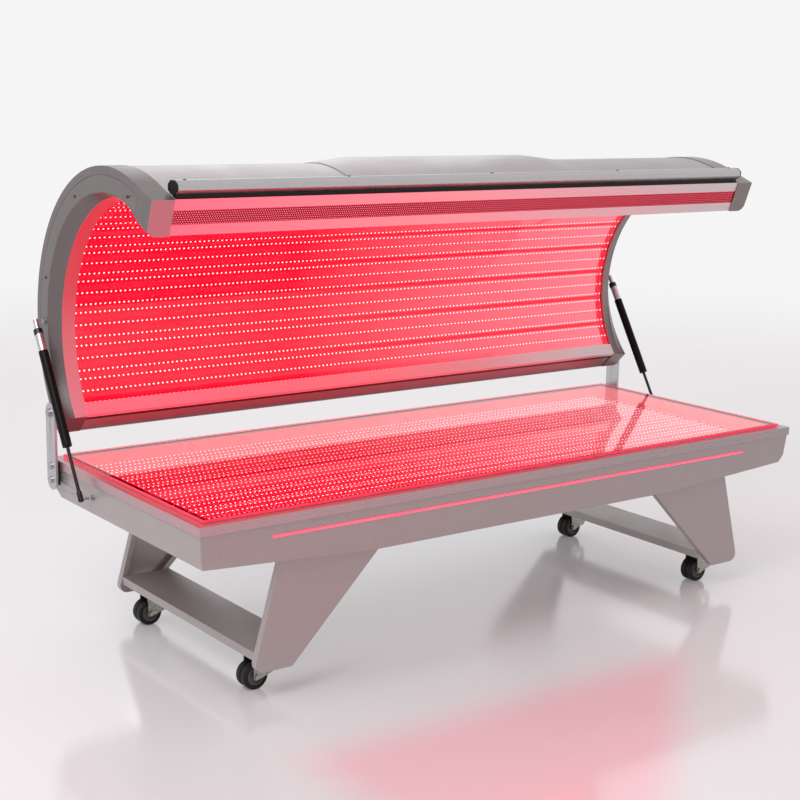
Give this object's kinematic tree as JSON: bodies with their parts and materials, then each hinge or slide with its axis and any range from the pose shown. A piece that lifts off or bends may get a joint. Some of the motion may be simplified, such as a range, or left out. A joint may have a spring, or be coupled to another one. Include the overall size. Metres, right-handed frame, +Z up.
{
  "type": "light therapy bed",
  "caption": "Long flat light bed on splayed leg panels with casters, under a C-shaped canopy that tilts on side plates and is held by gas struts.",
  "frame": {"origin": "middle of the footprint's bounding box, on the floor under the casters", "axes": "+X along the bed to its right end seen from the open front, +Y to the hinge side, +Z up"},
  "size_m": [2.2834, 0.954, 1.3846],
  "materials": {
    "silver_paint": "satin silver-grey paint",
    "grey_paint": "satin mid-grey paint",
    "dark_paint": "matt dark grey paint",
    "white_paint": "bright white reflector paint",
    "satin_aluminium": "satin anodised",
    "steel": "bright zinc",
    "zinc_plate": "zinc plated",
    "zinc_case": "galvanised sheet",
    "clear_acrylic": "clear, lit red from below",
    "red_lamps": "lit red lamps",
    "red_mesh": "dark red perforated sheet",
    "black_plastic": "fine matt texture",
    "grey_plastic": "matt",
    "black_rubber": "matt",
    "black_tyre": "matt"
  },
  "bodies": {
    "base": {"tray_shell": "silver_paint", "bed_rim": "satin_aluminium", "rim_seal": "black_rubber", "bed_clear_sheet": "clear_acrylic", "bed_reflector": "white_paint", "bed_light_boards": "red_lamps", "tray_frame": "dark_paint", "power_supplies": "zinc_case", "power_inlet": "black_plastic", "light_strip": "red_lamps", "leg_front_left": "silver_paint", "leg_rear_left": "silver_paint", "leg_front_right": "silver_paint", "leg_rear_right": "silver_paint", "leg_shelves": "silver_paint", "hinge_plates": "satin_aluminium", "hinge_spacers": "black_plastic", "hinge_bolts": "steel", "pivot_pins": "steel", "lower_ball_studs": "steel", "caster_plates": "zinc_plate"},
    "canopy": {"cap_left": "grey_paint", "cap_right": "grey_paint", "cap_inlays": "grey_paint", "cap_screws": "steel", "canopy_skin": "silver_paint", "raised_cover": "silver_paint", "canopy_liner": "white_paint", "canopy_light_boards": "red_lamps", "canopy_clear_sheet": "clear_acrylic", "lower_trim": "satin_aluminium", "fascia_rails": "satin_aluminium", "fascia_grille": "red_mesh", "canopy_fans": "black_plastic", "canopy_drivers": "zinc_case", "handle_rail": "satin_aluminium", "handle_fixings": "black_plastic", "handle_plugs": "black_plastic", "rear_rail": "satin_aluminium", "canopy_ribs": "dark_paint", "pivot_bushes": "black_plastic", "upper_ball_studs": "steel"},
    "strut_rod_left": {"rod_left": "steel"},
    "strut_tube_left": {"tube_left": "steel", "sleeve_left": "black_plastic"},
    "strut_rod_right": {"rod_right": "steel"},
    "strut_tube_right": {"tube_right": "steel", "sleeve_right": "black_plastic"},
    "swivel_front_left": {"fork_front_left": "zinc_plate"},
    "wheel_front_left": {"hub_front_left": "grey_plastic", "tyre_front_left": "black_tyre"},
    "swivel_rear_left": {"fork_rear_left": "zinc_plate"},
    "wheel_rear_left": {"hub_rear_left": "grey_plastic", "tyre_rear_left": "black_tyre"},
    "swivel_front_right": {"fork_front_right": "zinc_plate"},
    "wheel_front_right": {"hub_front_right": "grey_plastic", "tyre_front_right": "black_tyre"},
    "swivel_rear_right": {"fork_rear_right": "zinc_plate"},
    "wheel_rear_right": {"hub_rear_right": "grey_plastic", "tyre_rear_right": "black_tyre"}
  },
  "joints": [
    {"name": "canopy_hinge", "type": "hinge", "parent": "base", "child": "canopy", "pos_m": [0, 0.37298, 0.652], "axis": [1, 0, 0], "range_deg": [0, 50]},
    {"name": "strut_foot_left", "type": "hinge", "parent": "base", "child": "strut_rod_left", "pos_m": [-1.128, 0.14798, 0.447], "axis": [1, 0, 0], "range_deg": [0, 22.7]},
    {"name": "strut_head_left", "type": "hinge", "parent": "canopy", "child": "strut_tube_left", "pos_m": [-1.128, 0.42502, 0.91063], "axis": [1, 0, 0], "range_deg": [-27.5, 0]},
    {"name": "strut_foot_right", "type": "hinge", "parent": "base", "child": "strut_rod_right", "pos_m": [1.128, 0.14798, 0.447], "axis": [1, 0, 0], "range_deg": [0, 22.7]},
    {"name": "strut_head_right", "type": "hinge", "parent": "canopy", "child": "strut_tube_right", "pos_m": [1.128, 0.42502, 0.91063], "axis": [1, 0, 0], "range_deg": [-27.5, 0]},
    {"name": "swivel_front_left", "type": "hinge", "parent": "base", "child": "swivel_front_left", "pos_m": [-0.848, -0.33702, 0.11], "axis": [0, 0, 1], "continuous": true},
    {"name": "roll_front_left", "type": "hinge", "parent": "swivel_front_left", "child": "wheel_front_left", "pos_m": [-0.868, -0.33702, 0.0375], "axis": [0, 1, 0], "continuous": true},
    {"name": "swivel_rear_left", "type": "hinge", "parent": "base", "child": "swivel_rear_left", "pos_m": [-0.848, 0.27298, 0.11], "axis": [0, 0, 1], "continuous": true},
    {"name": "roll_rear_left", "type": "hinge", "parent": "swivel_rear_left", "child": "wheel_rear_left", "pos_m": [-0.868, 0.27298, 0.0375], "axis": [0, 1, 0], "continuous": true},
    {"name": "swivel_front_right", "type": "hinge", "parent": "base", "child": "swivel_front_right", "pos_m": [0.848, -0.33702, 0.11], "axis": [0, 0, 1], "continuous": true},
    {"name": "roll_front_right", "type": "hinge", "parent": "swivel_front_right", "child": "wheel_front_right", "pos_m": [0.828, -0.33702, 0.0375], "axis": [0, 1, 0], "continuous": true},
    {"name": "swivel_rear_right", "type": "hinge", "parent": "base", "child": "swivel_rear_right", "pos_m": [0.848, 0.27298, 0.11], "axis": [0, 0, 1], "continuous": true},
    {"name": "roll_rear_right", "type": "hinge", "parent": "swivel_rear_right", "child": "wheel_rear_right", "pos_m": [0.828, 0.27298, 0.0375], "axis": [0, 1, 0], "continuous": true}
  ],
  "couplings": [
    {"joint": "strut_foot_left", "follows": "canopy_hinge", "ratio": 0.4524},
    {"joint": "strut_head_left", "follows": "canopy_hinge", "ratio": -0.5476},
    {"joint": "strut_foot_right", "follows": "canopy_hinge", "ratio": 0.4524},
    {"joint": "strut_head_right", "follows": "canopy_hinge", "ratio": -0.5476}
  ]
}
